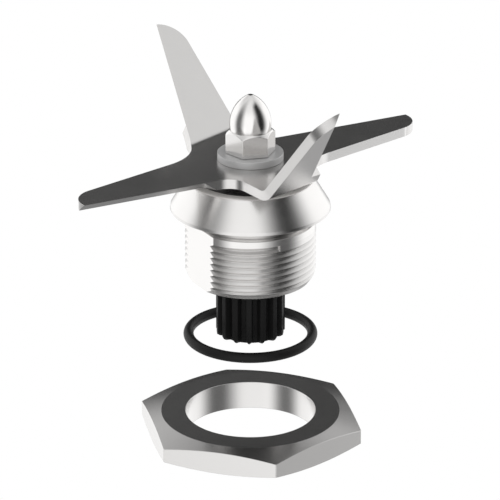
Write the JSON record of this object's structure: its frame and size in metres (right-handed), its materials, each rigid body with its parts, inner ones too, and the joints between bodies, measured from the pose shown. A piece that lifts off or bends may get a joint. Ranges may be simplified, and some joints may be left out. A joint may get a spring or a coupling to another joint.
{
  "type": "blender blade assembly",
  "caption": "Four-arm blade on a bearing unit with a conical flange, threaded neck and toothed drive, with its O-ring and hexagon retaining nut apart below.",
  "frame": {"origin": "on the axis, in the plane of the flange underside that seats on the jar base", "axes": "+Z along the shaft towards the blade; one flat arm points between +X and +Y, the other opposite it"},
  "size_m": [0.072, 0.0776, 0.0888],
  "materials": {
    "blade_steel": "satin, fine ground bevels",
    "housing_steel": "turned",
    "nut_steel": "satin",
    "polished_steel": "polished",
    "shaft_steel": "ground",
    "spring_steel": "plain",
    "bearing_steel": "ground",
    "cage_plastic": "moulded",
    "black_plastic": "moulded",
    "black_rubber": "smooth"
  },
  "bodies": {
    "housing": {"bearing_housing": "housing_steel", "shaft_seal_case": "spring_steel", "shaft_seal_lip": "black_rubber", "preload_washer": "spring_steel", "retaining_ring": "spring_steel", "outer_spacer": "shaft_steel", "upper_bearing_outer_race": "bearing_steel", "upper_bearing_upper_shield": "bearing_steel", "upper_bearing_lower_shield": "bearing_steel", "lower_bearing_outer_race": "bearing_steel", "lower_bearing_upper_shield": "bearing_steel", "lower_bearing_lower_shield": "bearing_steel"},
    "rotor": {"shaft": "shaft_steel", "blade_seat_sleeve": "shaft_steel", "blade": "blade_steel", "blade_washer": "polished_steel", "acorn_nut": "polished_steel", "drive_spline": "black_plastic", "inner_spacer": "shaft_steel", "upper_bearing_inner_race": "bearing_steel", "lower_bearing_inner_race": "bearing_steel"},
    "upper_ball_set": {"upper_bearing_ball_1": "bearing_steel", "upper_bearing_ball_2": "bearing_steel", "upper_bearing_ball_3": "bearing_steel", "upper_bearing_ball_4": "bearing_steel", "upper_bearing_ball_5": "bearing_steel", "upper_bearing_ball_6": "bearing_steel", "upper_bearing_ball_7": "bearing_steel", "upper_bearing_cage": "cage_plastic"},
    "lower_ball_set": {"lower_bearing_ball_1": "bearing_steel", "lower_bearing_ball_2": "bearing_steel", "lower_bearing_ball_3": "bearing_steel", "lower_bearing_ball_4": "bearing_steel", "lower_bearing_ball_5": "bearing_steel", "lower_bearing_ball_6": "bearing_steel", "lower_bearing_ball_7": "bearing_steel", "lower_bearing_cage": "cage_plastic"},
    "seal_ring": {"o_ring": "black_rubber"},
    "clamp_nut": {"retaining_nut": "nut_steel"}
  },
  "joints": [
    {"name": "rotor_spin", "type": "hinge", "parent": "housing", "child": "rotor", "pos_m": [0, 0, 0], "axis": [0, 0, 1], "continuous": true},
    {"name": "upper_balls_spin", "type": "hinge", "parent": "housing", "child": "upper_ball_set", "pos_m": [0, 0, 0], "axis": [0, 0, 1], "continuous": true},
    {"name": "lower_balls_spin", "type": "hinge", "parent": "housing", "child": "lower_ball_set", "pos_m": [0, 0, 0], "axis": [0, 0, 1], "continuous": true},
    {"name": "nut_on", "type": "slide", "parent": "housing", "child": "clamp_nut", "axis": [0, 0, 1], "range_m": [0, 0.0442]},
    {"name": "o_ring_on", "type": "slide", "parent": "housing", "child": "seal_ring", "axis": [0, 0, 1], "range_m": [0, 0.02865], "deforming": ["o_ring"]}
  ],
  "couplings": [
    {"joint": "upper_balls_spin", "follows": "rotor_spin", "ratio": 0.3677},
    {"joint": "lower_balls_spin", "follows": "rotor_spin", "ratio": 0.3677},
    {"joint": "o_ring_on", "follows": "nut_on", "ratio": 0.648}
  ]
}
